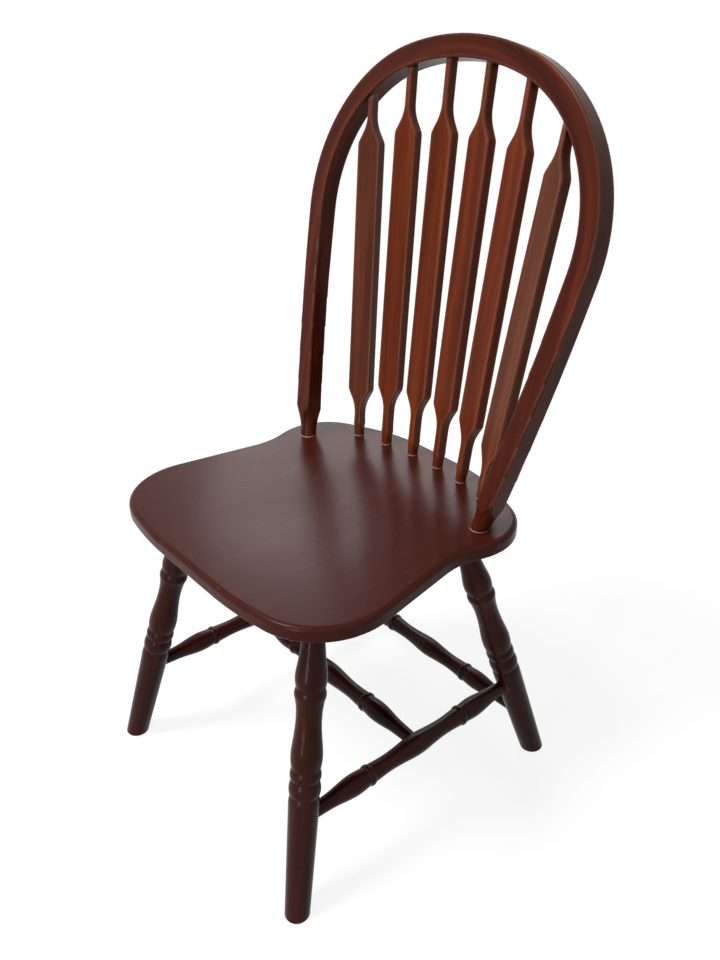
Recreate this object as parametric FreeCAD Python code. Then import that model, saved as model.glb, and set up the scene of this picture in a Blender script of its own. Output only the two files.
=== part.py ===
import FreeCAD, Part
import math
import os

# A hoop-back side chair of turned and bent wood, in millimetres, +Z up.
# The sitter faces -Y, and +X is the sitter's left hand.
# While the pieces are made, y = 0 is midway between the front and the rear feet.

Vector = FreeCAD.Vector
Z_AXIS = Vector(0, 0, 1)
ORIGIN = Vector(0, 0, 0)

# Room round and beyond a tenon in its hole, and wood left beyond a hole in the seat
TENON_CLEARANCE = 0.1
SOCKET_END_ROOM = 0.5
SHOULDER_CLEARANCE = 0.1
SOCKET_FLOOR = 4.0

# Seat: height of its top over the floor, thickness, and rounded edges
SEAT_HEIGHT = 450.0
SEAT_THICKNESS = 21.0
SEAT_TOP_ROUND = 7.0
SEAT_BOTTOM_ROUND = 2.5

# Seat outline, one half: corners of a polygon and the radius that rounds each
SEAT_REAR_Y = 235.5
SEAT_REAR_CORNER_X = 99.5
SEAT_REAR_RADIUS = 283.0
SEAT_HIP_X = 252.2
SEAT_HIP_Y = 167.8
SEAT_HIP_RADIUS = 84.0
SEAT_WAIST_X = 217.8
SEAT_WAIST_Y = 59.9
SEAT_WAIST_RADIUS = 106.5
SEAT_KNEE_X = 266.9
SEAT_KNEE_Y = -196.3
SEAT_KNEE_RADIUS = 104.0
SEAT_FRONT_CORNER_X = 105.6
SEAT_FRONT_RADIUS = 513.0
SEAT_FRONT_Y = -222.9

# Shallow round hollow in the top of the seat
DISH_DEPTH = 4.0
DISH_RADIUS = 176.0
DISH_CENTRE_Y = -15.0

# Legs: where the axes meet the floor and the underside of the seat
FRONT_FOOT_X = 228.0
FRONT_FOOT_Y = -237.5
FRONT_SOCKET_X = 153.5
FRONT_SOCKET_Y = -127.0
REAR_FOOT_X = 226.0
REAR_FOOT_Y = 237.5
REAR_SOCKET_X = 145.5
REAR_SOCKET_Y = 129.5
LEG_TENON_DIAMETER = 24.0

# Leg turning: runs up the axis from the floor, each on from the last, and the diameter
# at the upper end of each
FOOT_DIAMETER = 34.6
FOOT_ROUND = 3.0
PLAIN_RUN = 165.0
PLAIN_DIAMETER = 41.8
PLAIN_ROUND_RUN = 9.0
PLAIN_ROUND_DIAMETER = 41.2
PLAIN_GROOVE_RUN = 5.0
PLAIN_GROOVE_DIAMETER = 39.0
LARGE_BEAD_RUN = 11.0
LARGE_BEAD_DIAMETER = 43.0
LARGE_GROOVE_RUN = 11.0
LARGE_GROOVE_DIAMETER = 38.0
SMALL_BEAD_RUN = 8.5
SMALL_BEAD_DIAMETER = 42.2
SMALL_GROOVE_RUN = 8.0
SMALL_GROOVE_DIAMETER = 38.4
BALUSTER_BELLY_RUN = 16.5
BALUSTER_BELLY_DIAMETER = 42.7
BALUSTER_SLOPE_RUN = 27.0
BALUSTER_SLOPE_DIAMETER = 38.0
BALUSTER_NECK_RUN = 29.0
BALUSTER_NECK_DIAMETER = 34.2
RING_START_RUN = 26.0
RING_START_DIAMETER = 39.6
RING_RUN = 6.0
RING_DIAMETER = 42.4
RING_GROOVE_RUN = 9.0
RING_GROOVE_DIAMETER = 37.8
VASE_BELLY_RUN = 14.5
VASE_BELLY_DIAMETER = 42.2
VASE_SLOPE_RUN = 19.0
VASE_SLOPE_DIAMETER = 37.4
VASE_NECK_RUN = 20.5
VASE_NECK_DIAMETER = 32.4
LEG_TOP_DIAMETER = 28.6

# Stretcher turning: runs outwards from the middle of the length, in the same way
STRETCHER_MIDDLE_DIAMETER = 31.4
STRETCHER_SLOPE_RUN = 24.0
STRETCHER_SLOPE_DIAMETER = 28.2
STRETCHER_WAIST_RUN = 33.0
STRETCHER_WAIST_DIAMETER = 24.6
STRETCHER_COLLAR_RUN = 27.0
STRETCHER_COLLAR_DIAMETER = 27.4
STRETCHER_BEAD_RUN = 5.0
STRETCHER_BEAD_DIAMETER = 31.2
STRETCHER_GROOVE_RUN = 5.0
STRETCHER_GROOVE_DIAMETER = 27.8
STRETCHER_SWELL_RUN = 19.0
STRETCHER_SWELL_DIAMETER = 30.8
STRETCHER_FALL_RUN = 27.0
STRETCHER_FALL_DIAMETER = 26.0
STRETCHER_TAPER_RUN = 26.0
STRETCHER_TAPER_DIAMETER = 21.0
STRETCHER_END_DIAMETER = 18.8

# Heights of the stretchers on the axes of the legs, how far short of an axis they stop,
# and how far behind the middles of the side stretchers the cross stretcher is set
SIDE_STRETCHER_HEIGHT = 137.5
REAR_STRETCHER_HEIGHT = 75.5
STRETCHER_STOP = 3.0
CROSS_STRETCHER_BACK = 3.0

# Hoop: a bent bow of tangent arcs in one plane that leans back
HOOP_LEAN = 15.3
HOOP_FOOT_Y = 120.35
HOOP_RISE = 595.3
HOOP_TOP_RADIUS = 362.0
HOOP_TOP_ANGLE = 16.6
HOOP_SHOULDER_RADIUS = 211.5
HOOP_SIDE_ANGLE = 96.8
HOOP_SIDE_RADIUS = 3700.0
HOOP_WIDTH = 29.6
HOOP_DEPTH = 29.7
HOOP_ROUND = 3.0

# Feet of the hoop: round at the seat, a little behind the middle of the section, then
# widening to the square section
HOOP_TENON_DIAMETER = 25.0
HOOP_TENON_BACK = 1.5
HOOP_ROUND_LENGTH = 5.0
HOOP_TAPER_LENGTH = 48.0
HOOP_TAPER_DIAMETER = 43.0

# Slats: they stand on an arc, and each faces the centre of that arc
SLAT_ARC_RADIUS = 520.0
SLAT_ARC_REAR_Y = 202.0
SLAT_SPACING = 55.8
SLAT_TOP_ARC_RADIUS = 640.0
SLAT_TOP_SPACING = 72.9
SLAT_THICKNESS = 16.5
SLAT_LOW_NECK_WIDTH = 12.3
SLAT_TOP_NECK_WIDTH = 9.0
SLAT_ROUND = 2.5
SLAT_LOW_TENON_DIAMETER = 12.0
SLAT_TOP_TENON_DIAMETER = 8.0
SLAT_TENON_IN_HOOP = 14.0

# Feet of the slats: the neck widens to the seat, where it is round like a foot of the hoop
SLAT_FOOT_DIAMETER = 16.0
SLAT_ROUND_LENGTH = 4.0
SLAT_TAPER_LENGTH = 26.0
SLAT_TAPER_DIAMETER = 21.0
SLAT_FLARE_LENGTH = 28.0
SLAT_FLARE_RADIUS = 80.0

# Blade of a slat: corners before rounding, up from the seat and down from the hoop
BLADE_LOW_WIDTH = 40.0
BLADE_TOP_WIDTH = 38.5
BLADE_START_INNER = 97.5
BLADE_START_MIDDLE = 93.0
BLADE_START_OUTER = 75.0
BLADE_STOP_INNER = 91.5
BLADE_STOP_MIDDLE = 82.0
BLADE_STOP_OUTER = 60.5
BLADE_SLOPE_LENGTH = 26.0
BLADE_SHOULDER_RADIUS = 14.0
BLADE_NECK_RADIUS = 50.0


def line(start, end):
    return Part.makeLine(start, end)


def arc(start, middle, end):
    return Part.Arc(start, middle, end).toShape()


def curve(points, start_slope=None, end_slope=None):
    """Smooth curve through points, with a given direction at each end or at neither."""
    spline = Part.BSplineCurve()
    if start_slope:
        spline.interpolate(Points=points, InitialTangent=start_slope, FinalTangent=end_slope)
    else:
        spline.interpolate(points)
    return spline.toShape()


def closed_wire(edges):
    return Part.Wire(Part.__sortEdges__(edges))


def rod(diameter, start, end):
    run = end - start
    return Part.makeCylinder(diameter / 2, run.Length, start, run)


def moved(shape, placement):
    """Copy of a shape, carried by a placement from where it is."""
    carried = shape.copy()
    carried.Placement = placement.multiply(shape.Placement)
    return carried


def set_along(shape, start, end):
    """Copy of a shape made up +Z from the origin, set to run from start towards end."""
    return moved(shape, FreeCAD.Placement(start, FreeCAD.Rotation(Z_AXIS, end - start)))


def cut_away(shape, tools):
    """The largest solid that is left when the tools are cut from a shape."""
    rest = shape
    for tool in tools:
        rest = rest.cut(tool)
    return max(rest.Solids, key=lambda solid: solid.Volume)


def along(start, end, distance):
    """Point at a distance from start towards end."""
    return start + (end - start).normalize() * distance


def at_height(start, end, height):
    """Point of the line through start and end that has a given z."""
    return start + (end - start) * ((height - start.z) / (end.z - start.z))


def rounded_corners(corners):
    """Closed wire in XY through (x, y, radius) corners; radius 0 leaves a corner sharp."""
    starts = []
    middles = []
    ends = []
    for i, (x, y, radius) in enumerate(corners):
        corner = Vector(x, y, 0)
        before = Vector(*corners[i - 1][:2], 0)
        after = Vector(*corners[(i + 1) % len(corners)][:2], 0)
        back = (before - corner).normalize()
        ahead = (after - corner).normalize()
        half_angle = back.getAngle(ahead) / 2
        reach = radius / math.tan(half_angle)
        to_arc = radius / math.sin(half_angle) - radius
        starts.append(corner + back * reach)
        middles.append(corner + (back + ahead).normalize() * to_arc)
        ends.append(corner + ahead * reach)
    edges = []
    for i, (x, y, radius) in enumerate(corners):
        if radius > 0:
            edges.append(arc(starts[i], middles[i], ends[i]))
        edges.append(line(ends[i], starts[(i + 1) % len(corners)]))
    return Part.Wire(edges)


def revolved(edges):
    """Solid of revolution about Z from a closed outline in XZ."""
    ring = Part.Face(closed_wire(edges)).revolve(ORIGIN, Z_AXIS, 360)
    return Part.Solid(ring.Shells[0])


def station(height, diameter):
    """Point of a turning's profile."""
    return Vector(diameter / 2, 0, height)


def stations(steps):
    """Points of a turning's profile: each step is a run on from the last, and a diameter."""
    height = 0.0
    points = []
    for run, diameter in steps:
        height += run
        points.append(station(height, diameter))
    return points


def turned(profile):
    """Solid turned from the edges of a profile in XZ, which is open along the axis."""
    points = [vertex.Point for edge in profile for vertex in edge.Vertexes]
    bottom = min(points, key=lambda point: point.z)
    top = max(points, key=lambda point: point.z)
    axis_bottom = Vector(0, 0, bottom.z)
    axis_top = Vector(0, 0, top.z)
    ends = [line(axis_bottom, bottom), line(top, axis_top), line(axis_top, axis_bottom)]
    return revolved(profile + ends)


def foot_waste(bottom, foot_diameter, round_length, taper_length, taper_diameter):
    """What is cut away to round a square foot that stands at the origin and runs up +Z."""
    beyond = station(bottom, foot_diameter)
    round_top = station(round_length, foot_diameter)
    square_start = station(round_length + taper_length, taper_diameter)
    outer_bottom = station(bottom, 2 * taper_diameter)
    outer_top = station(square_start.z, 2 * taper_diameter)
    return revolved([
        line(beyond, round_top),
        curve([round_top, square_start], Z_AXIS, square_start - round_top),
        line(square_start, outer_top),
        line(outer_top, outer_bottom),
        line(outer_bottom, beyond),
    ])


def hole_depth(diameter, direction):
    """Length of a slanted hole that leaves the socket floor under its deepest corner."""
    steepness = abs(direction.z) / direction.Length
    slant = math.sqrt(1 - steepness ** 2)
    return (SEAT_THICKNESS - SOCKET_FLOOR - diameter / 2 * slant) / steepness


def tenon_length(diameter, direction):
    return hole_depth(diameter + 2 * TENON_CLEARANCE, direction) - SOCKET_END_ROOM


def socket(diameter, mouth, inwards, depth):
    """Hole for a tenon of a given diameter and depth, open well beyond its mouth."""
    way = Vector(inwards).normalize()
    opening = mouth - way * (2 * diameter)
    return rod(diameter + 2 * TENON_CLEARANCE, opening, mouth + way * (depth + SOCKET_END_ROOM))


# Seat

def seat_outline():
    half = [
        (SEAT_REAR_CORNER_X, SEAT_REAR_Y, SEAT_REAR_RADIUS),
        (SEAT_HIP_X, SEAT_HIP_Y, SEAT_HIP_RADIUS),
        (SEAT_WAIST_X, SEAT_WAIST_Y, SEAT_WAIST_RADIUS),
        (SEAT_KNEE_X, SEAT_KNEE_Y, SEAT_KNEE_RADIUS),
        (SEAT_FRONT_CORNER_X, SEAT_FRONT_Y, SEAT_FRONT_RADIUS),
    ]
    mirrored = [(-x, y, radius) for x, y, radius in reversed(half)]
    return rounded_corners(half + mirrored)


def dish():
    """Round bowl with a soft rim: a hollow arc and its mirrored twin meet half way."""
    half_radius = DISH_RADIUS / 2
    half_depth = DISH_DEPTH / 2
    bend = (half_radius ** 2 + half_depth ** 2) / DISH_DEPTH
    angle = math.asin(half_radius / bend) / 2
    across = bend * math.sin(angle)
    rise = bend * (1 - math.cos(angle))
    low = Vector(0, 0, -DISH_DEPTH)
    middle = Vector(half_radius, 0, -half_depth)
    rim = Vector(DISH_RADIUS, 0, 0)
    top = Vector(DISH_RADIUS, 0, DISH_DEPTH)
    axis_top = Vector(0, 0, DISH_DEPTH)
    bowl = revolved([
        arc(low, Vector(across, 0, rise - DISH_DEPTH), middle),
        arc(middle, Vector(DISH_RADIUS - across, 0, -rise), rim),
        line(rim, top),
        line(top, axis_top),
        line(axis_top, low),
    ])
    bowl.translate(Vector(0, DISH_CENTRE_Y, SEAT_HEIGHT))
    return bowl


def rim_edges(slab, height):
    """Edges of a flat slab's outline at one height."""
    return [edge for edge in slab.Edges if abs(edge.CenterOfMass.z - height) < SEAT_BOTTOM_ROUND]


def make_seat(sockets):
    underside = SEAT_HEIGHT - SEAT_THICKNESS
    slab = Part.Face(seat_outline()).extrude(Vector(0, 0, SEAT_THICKNESS))
    slab.translate(Vector(0, 0, underside))
    slab = slab.makeFillet(SEAT_TOP_ROUND, rim_edges(slab, SEAT_HEIGHT))
    slab = slab.makeFillet(SEAT_BOTTOM_ROUND, rim_edges(slab, underside))
    return cut_away(slab, [dish()] + sockets)


# Legs

def leg_line(foot_x, foot_y, socket_x, socket_y):
    """Foot on the floor, and the point where the axis meets the underside of the seat."""
    return Vector(foot_x, foot_y, 0), Vector(socket_x, socket_y, SEAT_HEIGHT - SEAT_THICKNESS)


def leg_blank(length):
    """Turned leg up +Z, left long at both ends for the slanted cuts."""
    spare = FOOT_DIAMETER / 2
    taper = (PLAIN_DIAMETER - FOOT_DIAMETER) / PLAIN_RUN
    foot = station(-spare, FOOT_DIAMETER - taper * spare)
    top = station(length, LEG_TOP_DIAMETER)
    points = stations([
        (PLAIN_RUN, PLAIN_DIAMETER),
        (PLAIN_ROUND_RUN, PLAIN_ROUND_DIAMETER),
        (PLAIN_GROOVE_RUN, PLAIN_GROOVE_DIAMETER),
        (LARGE_BEAD_RUN, LARGE_BEAD_DIAMETER),
        (LARGE_GROOVE_RUN, LARGE_GROOVE_DIAMETER),
        (SMALL_BEAD_RUN, SMALL_BEAD_DIAMETER),
        (SMALL_GROOVE_RUN, SMALL_GROOVE_DIAMETER),
        (BALUSTER_BELLY_RUN, BALUSTER_BELLY_DIAMETER),
        (BALUSTER_SLOPE_RUN, BALUSTER_SLOPE_DIAMETER),
        (BALUSTER_NECK_RUN, BALUSTER_NECK_DIAMETER),
        (RING_START_RUN, RING_START_DIAMETER),
        (RING_RUN, RING_DIAMETER),
        (RING_GROOVE_RUN, RING_GROOVE_DIAMETER),
        (VASE_BELLY_RUN, VASE_BELLY_DIAMETER),
        (VASE_SLOPE_RUN, VASE_SLOPE_DIAMETER),
        (VASE_NECK_RUN, VASE_NECK_DIAMETER),
    ])
    plain_end = points[0:3]
    large_bead = points[2:5]
    small_bead = points[4:7]
    baluster = points[6:11]
    ring = points[10:13]
    vase = points[12:] + [top]
    return turned([
        line(foot, plain_end[0]),
        arc(*plain_end),
        arc(*large_bead),
        arc(*small_bead),
        curve(baluster),
        arc(*ring),
        curve(vase),
        line(top, station(length + LEG_TOP_DIAMETER, LEG_TOP_DIAMETER)),
    ])


def half_space(x, y, z, reach, direction):
    """Block beside a level plane at z: above it with direction 1, below it with -1."""
    corner = Vector(x - reach, y - reach, z - (reach if direction < 0 else 0))
    return Part.makeBox(2 * reach, 2 * reach, reach, corner)


def make_leg(foot, mouth, sockets):
    leg = set_along(leg_blank((mouth - foot).Length), foot, mouth)
    floor = half_space(foot.x, foot.y, 0, 2 * FOOT_DIAMETER, -1)
    seat = half_space(mouth.x, mouth.y, mouth.z, 2 * LEG_TOP_DIAMETER, 1)
    leg = cut_away(leg, [floor, seat])
    sole = [edge for edge in leg.Edges if edge.BoundBox.ZMax < FOOT_ROUND / 2]
    leg = leg.makeFillet(FOOT_ROUND, sole)
    up = mouth - foot
    tip = along(mouth, mouth + up, tenon_length(LEG_TENON_DIAMETER, up))
    leg = leg.fuse(rod(LEG_TENON_DIAMETER, along(mouth, foot, LEG_TENON_DIAMETER), tip))
    return cut_away(leg, sockets)


def leg_socket(foot, mouth):
    """Hole in the underside of the seat."""
    up = mouth - foot
    return socket(LEG_TENON_DIAMETER, mouth, up, tenon_length(LEG_TENON_DIAMETER, up))


# Stretchers

def stretcher_half(half_length):
    """Edges of half the profile, from the middle outwards."""
    middle = station(0, STRETCHER_MIDDLE_DIAMETER)
    slope, waist, collar, bead, groove, swell, fall, taper = stations([
        (STRETCHER_SLOPE_RUN, STRETCHER_SLOPE_DIAMETER),
        (STRETCHER_WAIST_RUN, STRETCHER_WAIST_DIAMETER),
        (STRETCHER_COLLAR_RUN, STRETCHER_COLLAR_DIAMETER),
        (STRETCHER_BEAD_RUN, STRETCHER_BEAD_DIAMETER),
        (STRETCHER_GROOVE_RUN, STRETCHER_GROOVE_DIAMETER),
        (STRETCHER_SWELL_RUN, STRETCHER_SWELL_DIAMETER),
        (STRETCHER_FALL_RUN, STRETCHER_FALL_DIAMETER),
        (STRETCHER_TAPER_RUN, STRETCHER_TAPER_DIAMETER),
    ])
    end = station(half_length, STRETCHER_END_DIAMETER)
    return [
        curve([middle, slope, waist, collar], Z_AXIS, collar - waist),
        arc(collar, bead, groove),
        curve([groove, swell, fall, taper], swell - groove, end - taper),
        line(taper, end),
    ]


def make_stretcher(start, end):
    """Stretcher between two points on the axes of the pieces that hold it."""
    first = along(start, end, STRETCHER_STOP)
    last = along(end, start, STRETCHER_STOP)
    length = (last - first).Length
    half = stretcher_half(length / 2)
    other_half = [edge.mirror(ORIGIN, Z_AXIS) for edge in half]
    blank = turned(half + other_half)
    blank.translate(Vector(0, 0, length / 2))
    return set_along(blank, first, last)


def stretcher_socket(start, end):
    """Hole for the end near start of a stretcher that runs from there towards end."""
    mouth = along(start, end, STRETCHER_STOP + STRETCHER_END_DIAMETER)
    return socket(STRETCHER_END_DIAMETER, mouth, start - end, STRETCHER_END_DIAMETER)


# Hoop, drawn in its own plane: x across, y up the slope from the top of the seat

def polar(centre, radius, angle, side=1):
    """Point at an angle from straight up; side -1 mirrors it across the middle."""
    x = centre.x + radius * math.sin(angle)
    return Vector(side * x, centre.y + radius * math.cos(angle), 0)


def hoop_arcs():
    """Centre, radius, start angle and end angle of the top, shoulder and side arcs."""
    top_angle = math.radians(HOOP_TOP_ANGLE)
    side_angle = math.radians(HOOP_SIDE_ANGLE)
    top = Vector(0, HOOP_RISE - HOOP_TOP_RADIUS, 0)
    shoulder = polar(top, HOOP_TOP_RADIUS - HOOP_SHOULDER_RADIUS, top_angle)
    side = polar(shoulder, HOOP_SHOULDER_RADIUS - HOOP_SIDE_RADIUS, side_angle)
    foot_angle = math.acos(-side.y / HOOP_SIDE_RADIUS)
    return [
        (top, HOOP_TOP_RADIUS, 0.0, top_angle),
        (shoulder, HOOP_SHOULDER_RADIUS, top_angle, side_angle),
        (side, HOOP_SIDE_RADIUS, side_angle, foot_angle),
    ]


def hoop_placement():
    turn = FreeCAD.Rotation(Vector(1, 0, 0), 90 - HOOP_LEAN)
    return FreeCAD.Placement(Vector(0, HOOP_FOOT_Y, SEAT_HEIGHT), turn)


def hoop_foot_direction(side):
    """Way down a foot and its tenon."""
    angle = hoop_arcs()[-1][3]
    return Vector(side * math.cos(angle), -math.sin(angle), 0)


def hoop_foot(side):
    """Middle of a round foot at the seat, a little behind the middle of the section."""
    centre, radius, _, angle = hoop_arcs()[-1]
    back = hoop_placement().Rotation.inverted().multVec(Vector(0, HOOP_TENON_BACK, 0))
    return polar(centre, radius, angle, side) + back


def hoop_tenon_length():
    inwards = hoop_placement().Rotation.multVec(hoop_foot_direction(1))
    return tenon_length(HOOP_TENON_DIAMETER, inwards)


def hoop_flank(offset, side):
    """Edges beside the centre line, from the crown to the end of the tenon, and that end."""
    edges = []
    for centre, radius, start, end in hoop_arcs():
        angles = (start, (start + end) / 2, end)
        points = [polar(centre, radius + offset, angle, side) for angle in angles]
        edges.append(arc(*points))
    down = hoop_foot_direction(side)
    tenon_end = hoop_foot(side) + down * hoop_tenon_length()
    tip = points[-1] + down * (tenon_end - points[-1]).dot(down)
    edges.append(line(points[-1], tip))
    return edges, tip


def hoop_bow(width, depth):
    """Square-edged bow of a given section, in its own plane."""
    edges = []
    for side in (-1, 1):
        outer, outer_tip = hoop_flank(width / 2, side)
        inner, inner_tip = hoop_flank(-width / 2, side)
        edges += outer + inner + [line(outer_tip, inner_tip)]
    bow = Part.Face(closed_wire(edges)).extrude(Vector(0, 0, depth))
    bow.translate(Vector(0, 0, -depth / 2))
    return bow


def runs_along_bow(edge):
    """True for an edge of the bow's front or back that isn't at the end of a tenon."""
    middle = edge.CenterOfMass
    if abs(abs(middle.z) - HOOP_DEPTH / 2) > HOOP_ROUND / 2:
        return False
    side = 1 if middle.x > 0 else -1
    down = hoop_foot_direction(side)
    tangent = edge.tangentAt(edge.FirstParameter)
    is_straight = edge.Curve.TypeId == "Part::GeomLine"
    is_end = is_straight and tangent.cross(down).Length > abs(tangent.dot(down))
    return not is_end


def make_hoop(sockets):
    bow = hoop_bow(HOOP_WIDTH, HOOP_DEPTH)
    bow = bow.makeFillet(HOOP_ROUND, [edge for edge in bow.Edges if runs_along_bow(edge)])
    ring = foot_waste(
        -2 * hoop_tenon_length(), HOOP_TENON_DIAMETER, HOOP_ROUND_LENGTH,
        HOOP_TAPER_LENGTH, HOOP_TAPER_DIAMETER)
    feet = [(hoop_foot(side), hoop_foot_direction(side)) for side in (-1, 1)]
    bow = cut_away(bow, [set_along(ring, foot, foot - down) for foot, down in feet])
    return cut_away(moved(bow, hoop_placement()), sockets)


def hoop_socket(side):
    """Hole in the seat for a foot of the hoop."""
    place = hoop_placement()
    mouth = place.multVec(hoop_foot(side))
    inwards = place.Rotation.multVec(hoop_foot_direction(side))
    return socket(HOOP_TENON_DIAMETER, mouth, inwards, hoop_tenon_length())


# Slats

def hoop_underside(x):
    """Point on the inner face of the hoop, in the middle of its depth, at a given x."""
    top_arc, shoulder_arc, _ = hoop_arcs()
    centre, radius, _, end = top_arc
    if abs(x) > (radius - HOOP_WIDTH / 2) * math.sin(end):
        centre, radius, _, _ = shoulder_arc
    inner = radius - HOOP_WIDTH / 2
    height = centre.y + math.sqrt(inner ** 2 - (abs(x) - centre.x) ** 2)
    return hoop_placement().multVec(Vector(x, height, 0))


def slat_line(place, side):
    """Base on the seat, top at the hoop, and facing direction; place 0 is the inner slat."""
    steps = place + 0.5
    turn = steps * SLAT_SPACING / SLAT_ARC_RADIUS
    top_turn = steps * SLAT_TOP_SPACING / SLAT_TOP_ARC_RADIUS
    x = side * SLAT_ARC_RADIUS * math.sin(turn)
    y = SLAT_ARC_REAR_Y - SLAT_ARC_RADIUS * (1 - math.cos(turn))
    top = hoop_underside(side * SLAT_TOP_ARC_RADIUS * math.sin(top_turn))
    facing = Vector(-side * math.sin(turn), -math.cos(turn), 0)
    return Vector(x, y, SEAT_HEIGHT), top, facing


def slat_outline(length, start, stop):
    """Arrow shape in XY with its length along y, left long at both ends for fitting."""
    spare = SLAT_THICKNESS
    low_neck = SLAT_LOW_NECK_WIDTH / 2
    top_neck = SLAT_TOP_NECK_WIDTH / 2
    right = [
        (SLAT_FOOT_DIAMETER / 2 + SLAT_ROUND, -spare, 0),
        (low_neck, SLAT_FLARE_LENGTH, SLAT_FLARE_RADIUS),
        (low_neck, start - BLADE_SLOPE_LENGTH, BLADE_NECK_RADIUS),
        (BLADE_LOW_WIDTH / 2, start, BLADE_SHOULDER_RADIUS),
        (BLADE_TOP_WIDTH / 2, length - stop, BLADE_SHOULDER_RADIUS),
        (top_neck, length - stop + BLADE_SLOPE_LENGTH, BLADE_NECK_RADIUS),
        (top_neck, length + spare, 0),
    ]
    left = [(-x, y, radius) for x, y, radius in reversed(right)]
    return rounded_corners(right + left)


def runs_along_slat(edge):
    """True for an edge of the front or back that isn't one of the two short ends."""
    box = edge.BoundBox
    is_flat = box.ZLength < SLAT_ROUND / 2
    is_end = box.YLength < SLAT_ROUND / 2
    return is_flat and not is_end


def slat_blank(length, start, stop):
    """Arrow-shaped board in XY, centred on its thickness, with rounded edges and foot."""
    outline = slat_outline(length, start, stop)
    board = Part.Face(outline).extrude(Vector(0, 0, SLAT_THICKNESS))
    board.translate(Vector(0, 0, -SLAT_THICKNESS / 2))
    board = board.makeFillet(SLAT_ROUND, [edge for edge in board.Edges if runs_along_slat(edge)])
    ring = foot_waste(
        -2 * SLAT_THICKNESS, SLAT_FOOT_DIAMETER, SLAT_ROUND_LENGTH,
        SLAT_TAPER_LENGTH, SLAT_TAPER_DIAMETER)
    return cut_away(board, [set_along(ring, ORIGIN, Vector(0, 1, 0))])


def make_slat(place, side, hoop_space):
    starts = (BLADE_START_INNER, BLADE_START_MIDDLE, BLADE_START_OUTER)
    stops = (BLADE_STOP_INNER, BLADE_STOP_MIDDLE, BLADE_STOP_OUTER)
    base, top, facing = slat_line(place, side)
    up = (top - base).normalize()
    front = (facing - up * facing.dot(up)).normalize()
    turn = FreeCAD.Rotation(up.cross(front), up, front, "ZYX")
    blank = slat_blank((top - base).Length, starts[place], stops[place])
    board = moved(blank, FreeCAD.Placement(base, turn))
    below = half_space(base.x, base.y, SEAT_HEIGHT, 2 * SLAT_THICKNESS, -1)
    board = cut_away(board, [below, hoop_space])
    low_tip = base - up * tenon_length(SLAT_LOW_TENON_DIAMETER, up)
    top_tip = top + up * SLAT_TENON_IN_HOOP
    low_tenon = rod(SLAT_LOW_TENON_DIAMETER, low_tip, base + up * SLAT_THICKNESS)
    top_tenon = rod(SLAT_TOP_TENON_DIAMETER, top - up * SLAT_THICKNESS, top_tip)
    return board.fuse([low_tenon, top_tenon]).Solids[0]


def slat_sockets(place, side):
    """Holes in the seat and in the hoop for the tenons of one slat."""
    base, top, _ = slat_line(place, side)
    up = top - base
    depth = tenon_length(SLAT_LOW_TENON_DIAMETER, up)
    in_seat = socket(SLAT_LOW_TENON_DIAMETER, base, -up, depth)
    in_hoop = socket(SLAT_TOP_TENON_DIAMETER, top, up, SLAT_TENON_IN_HOOP)
    return in_seat, in_hoop


# The whole chair

def make_base(pieces):
    """Legs and stretchers; returns the holes that the legs need in the seat."""
    lines = {}
    for hand, side in (("right", -1), ("left", 1)):
        lines["front_" + hand] = leg_line(
            side * FRONT_FOOT_X, FRONT_FOOT_Y, side * FRONT_SOCKET_X, FRONT_SOCKET_Y)
        lines["rear_" + hand] = leg_line(
            side * REAR_FOOT_X, REAR_FOOT_Y, side * REAR_SOCKET_X, REAR_SOCKET_Y)
    holes = {name: [] for name in lines}

    middles = {}
    side_stretchers = {}
    for hand in ("right", "left"):
        front = at_height(*lines["front_" + hand], SIDE_STRETCHER_HEIGHT)
        rear = at_height(*lines["rear_" + hand], SIDE_STRETCHER_HEIGHT)
        holes["front_" + hand].append(stretcher_socket(front, rear))
        holes["rear_" + hand].append(stretcher_socket(rear, front))
        side_stretchers[hand] = make_stretcher(front, rear)
        half_length = (rear - front).Length / 2
        middles[hand] = along(front, rear, half_length + CROSS_STRETCHER_BACK)

    for hand, other in (("right", "left"), ("left", "right")):
        hole = stretcher_socket(middles[hand], middles[other])
        pieces["side_stretcher_" + hand] = cut_away(side_stretchers[hand], [hole])
    pieces["cross_stretcher"] = make_stretcher(middles["right"], middles["left"])

    rear_right = at_height(*lines["rear_right"], REAR_STRETCHER_HEIGHT)
    rear_left = at_height(*lines["rear_left"], REAR_STRETCHER_HEIGHT)
    holes["rear_right"].append(stretcher_socket(rear_right, rear_left))
    holes["rear_left"].append(stretcher_socket(rear_left, rear_right))
    pieces["rear_stretcher"] = make_stretcher(rear_right, rear_left)

    for name, (foot, mouth) in lines.items():
        pieces["leg_" + name] = make_leg(foot, mouth, holes[name])
    return [leg_socket(foot, mouth) for foot, mouth in lines.values()]


def make_back(pieces):
    """Hoop and slats; returns the holes that they need in the seat."""
    holes_in_seat = [hoop_socket(-1), hoop_socket(1)]
    holes_in_hoop = []
    margin = 2 * SHOULDER_CLEARANCE
    hoop_space = moved(hoop_bow(HOOP_WIDTH + margin, HOOP_DEPTH + margin), hoop_placement())
    # Slats are numbered from the sitter's right to the sitter's left
    places = ((2, -1), (1, -1), (0, -1), (0, 1), (1, 1), (2, 1))
    for number, (place, side) in enumerate(places, start=1):
        pieces["slat_%d" % number] = make_slat(place, side, hoop_space)
        in_seat, in_hoop = slat_sockets(place, side)
        holes_in_seat.append(in_seat)
        holes_in_hoop.append(in_hoop)
    pieces["hoop"] = make_hoop(holes_in_hoop)
    return holes_in_seat


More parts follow.
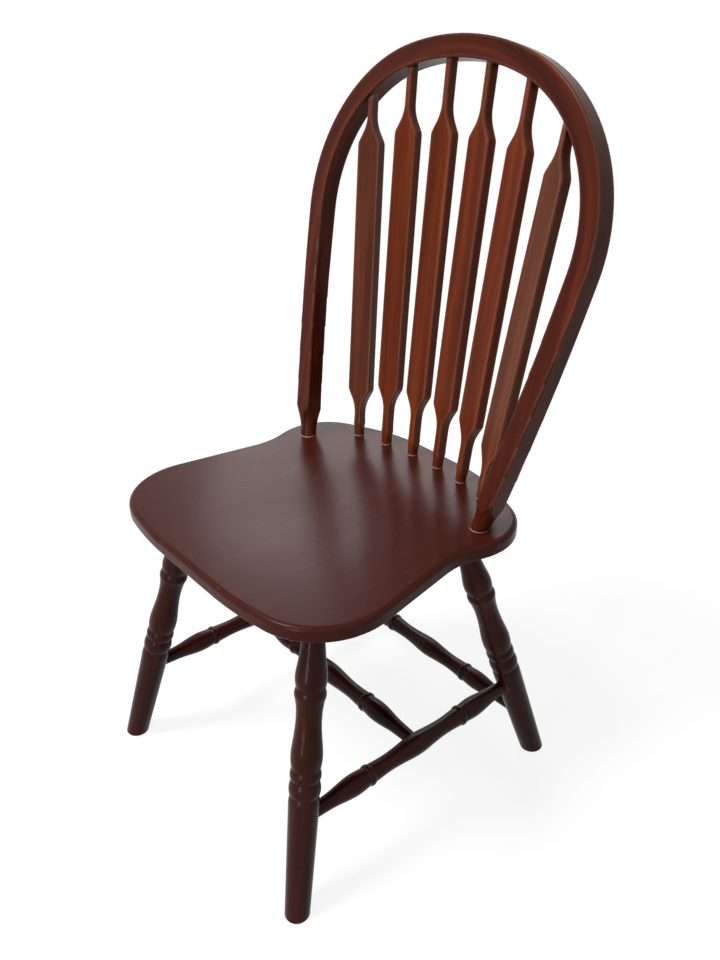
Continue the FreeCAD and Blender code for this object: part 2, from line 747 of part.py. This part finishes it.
def main():
    pieces = {}
    holes_in_seat = make_base(pieces) + make_back(pieces)
    pieces["seat"] = make_seat(holes_in_seat)
    # The origin is on the floor, below the middle of the chair's whole extent
    extent = Part.makeCompound(list(pieces.values())).optimalBoundingBox(False, False)
    to_origin = Vector(-extent.Center.x, -extent.Center.y, 0)
    os.makedirs("parts", exist_ok=True)
    for name, piece in pieces.items():
        piece.translate(to_origin)
        piece.exportStep(os.path.join("parts", name + ".step"))
        state = "valid" if piece.isValid() else "NOT VALID"
        print("%-22s %s, %.1f cm3" % (name, state, piece.Volume / 1000))
    print("shift to the origin: %.3f, %.3f" % (to_origin.x, to_origin.y))
    print("extent: %.2f x %.2f x %.2f" % (extent.XLength, extent.YLength, extent.ZLength))


main()
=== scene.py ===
import math

import bpy
import numpy as np
from mathutils import Matrix, Vector


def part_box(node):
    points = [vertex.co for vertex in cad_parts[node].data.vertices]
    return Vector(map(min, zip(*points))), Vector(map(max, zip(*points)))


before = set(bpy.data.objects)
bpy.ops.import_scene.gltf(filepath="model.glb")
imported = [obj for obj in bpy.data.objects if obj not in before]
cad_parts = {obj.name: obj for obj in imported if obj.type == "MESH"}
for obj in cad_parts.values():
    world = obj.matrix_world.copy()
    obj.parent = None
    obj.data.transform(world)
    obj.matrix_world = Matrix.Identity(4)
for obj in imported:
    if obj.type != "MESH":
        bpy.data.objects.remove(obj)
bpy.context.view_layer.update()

# A hoop-back side chair of dark stained and lacquered wood, in metres, +Z up.
# The sitter faces -Y, and +X is the sitter's left hand.
# Angles are in degrees, and colours are written as they look on a screen, from 0 to 255.

# Camera: where it stands, which way it looks, and its turn about its own axis
CAMERA_PLACE = (0.9197, -0.6921, 1.1187)
CAMERA_AZIMUTH = 51.044
CAMERA_ELEVATION = 29.034
CAMERA_ROLL = -1.208
CAMERA_LENS = 34.73
CAMERA_SENSOR = 36.0

# Stage: the floor is white to the eye where lit, as a glow and a diffuse share together
FLOOR_SIZE = 400.0
FLOOR_COLOUR = (112, 112, 112)
FLOOR_GLOW = 0.86
SKY_STRENGTH = 0.26
BACKGROUND_STRENGTH = 1.0

# Lamps: azimuth from the sitter's forward way towards the sitter's left, and elevation.
# The key gives parallel light, with its strength, the angle that it fills and where it stands.
KEY_AZIMUTH = -25.0
KEY_ELEVATION = 58.0
KEY_STRENGTH = 2.4
KEY_ANGLE = 16.0
KEY_DISTANCE = 3.0
# The panels then have their distance from the seat, width, height and power
PANELS = {
    "front_strip": (20.0, 8.0, 2.8, 0.22, 1.5, 22.0),
    "rear_panel": (-131.0, 31.0, 3.0, 1.5, 0.9, 22.0),
}

# Hoop: how far it leans back, and the centre of its upper arc in its own plane
HOOP_LEAN = 15.3
HOOP_BEND_HEIGHT = 0.357
HOOP_BEND_RADIUS = 0.225

# Where the finish stops at the foot of a piece that stands on the seat
SEAT_TOP = 0.450
BARE_LINE = 0.0009
BARE_WOOD = (205, 170, 150)

# Painted shade in hollows, and edges made paler, partly as wear and partly as a painted highlight: how
# far round each looks, between which two degrees of openness it grows, how much of it shows at most, and
# the rays spent on it
PAINTED_SHADE_REACH = 0.010
PAINTED_SHADE_RANGE = (0.95, 0.45)
PAINTED_SHADE_MOST = 0.75
WEAR_AND_HIGHLIGHT_REACH = 0.006
WEAR_AND_HIGHLIGHT_RANGE = (0.80, 0.50)
WEAR_AND_HIGHLIGHT_MOST = 0.85
OPENNESS_RAYS = 6

# Marks in the wood: how densely each lies across the grain and along it, per metre, and
# the stretch of its noise in which it grows
FIGURE_DENSITY = (75.0, 3.5)
FIGURE_STOPS = (0.30, 0.52, 0.74)
STREAK_DENSITY = (520.0, 9.0)
STREAK_RANGE = (0.35, 0.75)
PORE_DENSITY = (1900.0, 55.0)
PORE_RANGE = (0.60, 0.70)
PORE_DEPTH = 0.0002
PORE_RELIEF = 0.12
# The pore colour also serves as the painted shade in hollows
PORE_AND_SHADE_COLOUR = (20, 8, 6)

# Lacquer: its dull and glossy clouds, their density, and the roughness between them
CLOUD_DENSITY = (14.0, 9.0)
CLOUD_RANGE = (0.1, 0.9)
ROUGHNESS = (0.24, 0.32)
COAT_ROUGHNESS = 0.16

# Each piece is cut from another place in the wood, so far on per piece
GRAIN_STEP = (0.31, 0.17)

# Finishes: tones of the dark figure, the common wood and the light figure, and the colour of edges that
# are worn and carry a painted highlight; then how much figure, streaks and pores show, and how far the
# lacquer shines
SEAT_FINISH = {
    "tones": ((54, 20, 15), (68, 27, 20), (82, 34, 24)), "wear_and_highlight": (112, 40, 25),
    "figure": 0.30, "streaks": 0.10, "pores": 0.10, "shine": 0.07, "coat": 0.03}
HOOP_FINISH = {
    "tones": ((56, 20, 12), (84, 32, 19), (114, 48, 27)), "wear_and_highlight": (180, 118, 98),
    "figure": 0.75, "streaks": 0.30, "pores": 0.25, "shine": 0.07, "coat": 0.04}
SLAT_FINISH = {
    "tones": ((84, 32, 13), (113, 46, 20), (138, 64, 28)), "wear_and_highlight": (190, 132, 112),
    "figure": 0.80, "streaks": 0.40, "pores": 0.30, "shine": 0.06, "coat": 0.03}
# The outer slats take greyer tones: a painted sheen from the light that their turned faces catch
OUTER_SLATS = ("slat_1", "slat_6")
OUTER_SLAT_SHEEN_FINISH = {
    "tones": ((76, 36, 20), (104, 52, 33), (126, 70, 45)), "wear_and_highlight": (190, 132, 112),
    "figure": 0.80, "streaks": 0.40, "pores": 0.30, "shine": 0.08, "coat": 0.04}
TURNED_FINISH = {
    "tones": ((38, 14, 9), (58, 23, 15), (80, 33, 21)), "wear_and_highlight": (104, 48, 34),
    "figure": 0.85, "streaks": 0.50, "pores": 0.60, "shine": 0.07, "coat": 0.06}


def linear(colour):
    """Screen colour, 0 to 255, as the linear colour with alpha that a shader takes."""
    shares = [channel / 255 for channel in colour]
    mapped = [s / 12.92 if s <= 0.04045 else ((s + 0.055) / 1.055) ** 2.4 for s in shares]
    return (*mapped, 1.0)


def add(tree, kind, inputs=None, **properties):
    """New node; an input is a plain value or the output of another node."""
    node = tree.nodes.new(kind)
    for name, value in properties.items():
        setattr(node, name, value)
    for name, value in (inputs or {}).items():
        if isinstance(value, bpy.types.NodeSocket):
            tree.links.new(value, node.inputs[name])
        else:
            node.inputs[name].default_value = value
    return node


def math_node(tree, operation, first, second=0.0):
    return add(tree, "ShaderNodeMath", {0: first, 1: second}, operation=operation).outputs[0]


def mix_colour(tree, share, first, second):
    mix = add(tree, "ShaderNodeMix", {0: share, 6: first, 7: second}, data_type="RGBA")
    return mix.outputs[2]


def ramp(tree, value, stops):
    """Colour ramp through (position, colour) stops."""
    node = add(tree, "ShaderNodeValToRGB", {"Fac": value})
    elements = node.color_ramp.elements
    while len(elements) < len(stops):
        elements.new(0.5)
    for element, (position, colour) in zip(elements, stops):
        element.position = position
        element.color = colour
    return node.outputs["Color"]


def map_range(tree, value, from_low, from_high, to_low, to_high):
    node = add(tree, "ShaderNodeMapRange", {
        "Value": value, "From Min": from_low, "From Max": from_high,
        "To Min": to_low, "To Max": to_high})
    return node.outputs["Result"]


def noise(tree, vector, density, detail, roughness=0.5):
    """Noise of one density across the grain and another along it, which is Z."""
    across, along = density
    scales = (across, across, along)
    scaled = add(tree, "ShaderNodeVectorMath", {0: vector, 1: scales}, operation="MULTIPLY").outputs[0]
    node = add(tree, "ShaderNodeTexNoise", {
        "Vector": scaled, "Scale": 1.0, "Detail": detail, "Roughness": roughness})
    return node.outputs["Fac"]


def straight_grain(tree, axis, shift):
    """Coordinates in metres with the grain, which runs along axis, turned to Z."""
    place = add(tree, "ShaderNodeTexCoord").outputs["Object"]
    turn = Vector(axis).rotation_difference(Vector((0, 0, 1))).to_euler()
    node = add(tree, "ShaderNodeMapping", {"Vector": place, "Rotation": turn, "Location": shift})
    return node.outputs["Vector"]


def bent_grain(tree):
    """Coordinates in metres that follow the bow: across it, through it, and along it as Z."""
    place = add(tree, "ShaderNodeTexCoord").outputs["Object"]
    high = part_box("hoop")[1]
    # The bow's plane leans back about the line where it meets the seat
    foot = Vector((0, high.y - math.tan(math.radians(HOOP_LEAN)) * (high.z - SEAT_TOP), SEAT_TOP))
    level = add(tree, "ShaderNodeVectorMath", {0: place, 1: foot}, operation="SUBTRACT").outputs[0]
    upright = add(tree, "ShaderNodeMapping", {
        "Vector": level, "Rotation": (math.radians(HOOP_LEAN), 0, 0)}).outputs["Vector"]
    parts = add(tree, "ShaderNodeSeparateXYZ", {"Vector": upright})
    side = math_node(tree, "ABSOLUTE", parts.outputs["X"])
    height = math_node(tree, "SUBTRACT", parts.outputs["Z"], HOOP_BEND_HEIGHT)
    above = math_node(tree, "MAXIMUM", height, 0.0)
    below = math_node(tree, "MINIMUM", height, 0.0)
    angle = math_node(tree, "ARCTAN2", above, side)
    side_squared = math_node(tree, "MULTIPLY", side, side)
    above_squared = math_node(tree, "MULTIPLY", above, above)
    radius = math_node(tree, "SQRT", math_node(tree, "ADD", side_squared, above_squared))
    round_part = math_node(tree, "MULTIPLY", angle, HOOP_BEND_RADIUS)
    along = math_node(tree, "ADD", round_part, below)
    from_crown = math_node(tree, "SUBTRACT", HOOP_BEND_RADIUS * math.pi / 2, along)
    hand = math_node(tree, "SIGN", parts.outputs["X"])
    signed = math_node(tree, "MULTIPLY", from_crown, hand)
    joined = add(tree, "ShaderNodeCombineXYZ", {"X": radius, "Y": parts.outputs["Y"], "Z": signed})
    return joined.outputs["Vector"]


def openness(tree, reach, inside):
    """How open the surroundings are: low in hollows, or low at edges when looking inside."""
    node = add(
        tree, "ShaderNodeAmbientOcclusion", {"Distance": reach}, inside=inside, samples=OPENNESS_RAYS)
    return node.outputs["AO"]


def wood(name, finish, grain, bare_foot=False):
    """Stained wood under satin lacquer; grain gives the coordinates once the tree is there."""
    material = bpy.data.materials.new(name)
    material.use_nodes = True
    tree = material.node_tree
    tree.nodes.clear()
    vector = grain(tree)

    dark, common, light = [linear(tone) for tone in finish["tones"]]
    figure = noise(tree, vector, FIGURE_DENSITY, 3.0)
    figured = ramp(tree, figure, list(zip(FIGURE_STOPS, (dark, common, light))))
    colour = mix_colour(tree, finish["figure"], common, figured)

    streak = noise(tree, vector, STREAK_DENSITY, 4.0, 0.6)
    streak_share = map_range(tree, streak, *STREAK_RANGE, 0.0, finish["streaks"])
    colour = mix_colour(tree, streak_share, colour, dark)

    pore = noise(tree, vector, PORE_DENSITY, 2.0)
    pore_mask = map_range(tree, pore, *PORE_RANGE, 0.0, 1.0)
    pore_share = math_node(tree, "MULTIPLY", pore_mask, finish["pores"])
    colour = mix_colour(tree, pore_share, colour, linear(PORE_AND_SHADE_COLOUR))

    # Edges are made paler: partly wear, partly a painted highlight along the arrises and bead crests
    wear_and_highlight = map_range(tree, openness(tree, WEAR_AND_HIGHLIGHT_REACH, True), *WEAR_AND_HIGHLIGHT_RANGE, 0.0, WEAR_AND_HIGHLIGHT_MOST)
    colour = mix_colour(tree, wear_and_highlight, colour, linear(finish["wear_and_highlight"]))
    # Hollows and grooves are darkened towards the pore colour: painted shade
    painted_shade = map_range(tree, openness(tree, PAINTED_SHADE_REACH, False), *PAINTED_SHADE_RANGE, 0.0, PAINTED_SHADE_MOST)
    colour = mix_colour(tree, painted_shade, colour, linear(PORE_AND_SHADE_COLOUR))

    if bare_foot:
        place = add(tree, "ShaderNodeTexCoord").outputs["Object"]
        height = add(tree, "ShaderNodeSeparateXYZ", {"Vector": place}).outputs["Z"]
        is_bare = math_node(tree, "LESS_THAN", height, SEAT_TOP + BARE_LINE)
        colour = mix_colour(tree, is_bare, colour, linear(BARE_WOOD))

    cloud = noise(tree, vector, CLOUD_DENSITY, 2.0)
    roughness = map_range(tree, cloud, *CLOUD_RANGE, *ROUGHNESS)
    relief = math_node(tree, "MULTIPLY", pore_mask, -1.0)
    bump = add(tree, "ShaderNodeBump", {
        "Height": relief, "Strength": PORE_RELIEF, "Distance": PORE_DEPTH})
    surface = add(tree, "ShaderNodeBsdfPrincipled", {
        "Base Color": colour, "Roughness": roughness, "Normal": bump.outputs["Normal"],
        "Specular IOR Level": finish["shine"], "Coat Weight": finish["coat"],
        "Coat Roughness": COAT_ROUGHNESS})
    add(tree, "ShaderNodeOutputMaterial", {"Surface": surface.outputs["BSDF"]})
    return material


def long_axis(node):
    """Direction in which a long piece stretches furthest."""
    points = np.array([vertex.co for vertex in node.data.vertices])
    spread = np.linalg.svd(points - points.mean(axis=0), full_matrices=False)[2]
    return Vector(spread[0])


def paint(name, material):
    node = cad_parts[name]
    for slot in node.material_slots:
        slot.material = material


def paint_chair():
    """Grain front to back in the seat, round the bow in the hoop, and lengthwise elsewhere."""
    paint("seat", wood("seat_wood", SEAT_FINISH, lambda tree: straight_grain(tree, (0, 1, 0), (0, 0, 0))))
    paint("hoop", wood("hoop_wood", HOOP_FINISH, bent_grain, bare_foot=True))
    for number, name in enumerate(sorted(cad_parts)):
        if name in ("seat", "hoop"):
            continue
        axis = long_axis(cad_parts[name])
        shift = (GRAIN_STEP[0] * number, GRAIN_STEP[1] * number, 0.0)
        is_slat = name.startswith("slat")
        finish = SLAT_FINISH if is_slat else TURNED_FINISH
        # Greyer tones on the outer slats are a painted sheen
        if name in OUTER_SLATS:
            finish = OUTER_SLAT_SHEEN_FINISH
        material = wood(name + "_wood", finish, lambda tree: straight_grain(tree, axis, shift), is_slat)
        paint(name, material)


def make_camera():
    data = bpy.data.cameras.new("camera")
    data.lens = CAMERA_LENS
    data.sensor_width = CAMERA_SENSOR
    camera = bpy.data.objects.new("camera", data)
    bpy.context.scene.collection.objects.link(camera)
    level = Matrix.Rotation(math.radians(CAMERA_AZIMUTH), 4, "Z")
    tilt = Matrix.Rotation(math.radians(90 - CAMERA_ELEVATION), 4, "X")
    roll = Matrix.Rotation(math.radians(CAMERA_ROLL), 4, "Z")
    camera.matrix_world = Matrix.Translation(CAMERA_PLACE) @ level @ tilt @ roll
    bpy.context.scene.camera = camera


def seen_rays(tree):
    """1 for rays by which the eye sees the background, directly, mirrored or through glass."""
    rays = add(tree, "ShaderNodeLightPath").outputs
    seen = math_node(tree, "MAXIMUM", rays["Is Camera Ray"], rays["Is Glossy Ray"])
    return math_node(tree, "MAXIMUM", seen, rays["Is Transmission Ray"])


def make_floor():
    """Pale floor, white to the eye apart from the soft shadow of the chair."""
    half = FLOOR_SIZE / 2
    mesh = bpy.data.meshes.new("floor")
    corners = [(-half, -half, 0), (half, -half, 0), (half, half, 0), (-half, half, 0)]
    mesh.from_pydata(corners, [], [(0, 1, 2, 3)])
    floor = bpy.data.objects.new("floor", mesh)
    bpy.context.scene.collection.objects.link(floor)
    material = bpy.data.materials.new("floor")
    material.use_nodes = True
    tree = material.node_tree
    tree.nodes.clear()
    matt = add(tree, "ShaderNodeBsdfDiffuse", {"Color": linear(FLOOR_COLOUR)})
    glow_strength = math_node(tree, "MULTIPLY", seen_rays(tree), FLOOR_GLOW)
    glow = add(tree, "ShaderNodeEmission", {"Strength": glow_strength})
    both = add(tree, "ShaderNodeAddShader", {0: matt.outputs["BSDF"], 1: glow.outputs["Emission"]})
    add(tree, "ShaderNodeOutputMaterial", {"Surface": both.outputs["Shader"]})
    mesh.materials.append(material)


def make_world():
    """Even light from all round, in front of a white background."""
    world = bpy.data.worlds.new("studio")
    bpy.context.scene.world = world
    world.use_nodes = True
    tree = world.node_tree
    tree.nodes.clear()
    strength = map_range(tree, seen_rays(tree), 0.0, 1.0, SKY_STRENGTH, BACKGROUND_STRENGTH)
    sky = add(tree, "ShaderNodeBackground", {"Color": (1, 1, 1, 1), "Strength": strength})
    add(tree, "ShaderNodeOutputWorld", {"Surface": sky.outputs["Background"]})


def place_lamp(data, azimuth, elevation, distance):
    """Stand a lamp at its distance from the seat, aimed at it."""
    lamp = bpy.data.objects.new(data.name, data)
    bpy.context.scene.collection.objects.link(lamp)
    turn = math.radians(azimuth)
    rise = math.radians(elevation)
    level = math.cos(rise)
    outwards = Vector((math.sin(turn) * level, -math.cos(turn) * level, math.sin(rise)))
    lamp.location = Vector((0, 0, SEAT_TOP)) + outwards * distance
    lamp.rotation_euler = outwards.to_track_quat("Z", "Y").to_euler()


def make_key():
    """Far soft lamp: parallel light, the same all over the floor."""
    data = bpy.data.lights.new("key", "SUN")
    data.energy = KEY_STRENGTH
    data.angle = math.radians(KEY_ANGLE)
    place_lamp(data, KEY_AZIMUTH, KEY_ELEVATION, KEY_DISTANCE)


def make_panel(name, azimuth, elevation, distance, width, height, power):
    """Soft rectangular lamp close by."""
    data = bpy.data.lights.new(name, "AREA")
    data.shape = "RECTANGLE"
    data.size = width
    data.size_y = height
    data.energy = power
    place_lamp(data, azimuth, elevation, distance)


bpy.context.scene.view_settings.view_transform = "Standard"
make_camera()
make_floor()
make_world()
make_key()
for name, settings in PANELS.items():
    make_panel(name, *settings)
paint_chair()
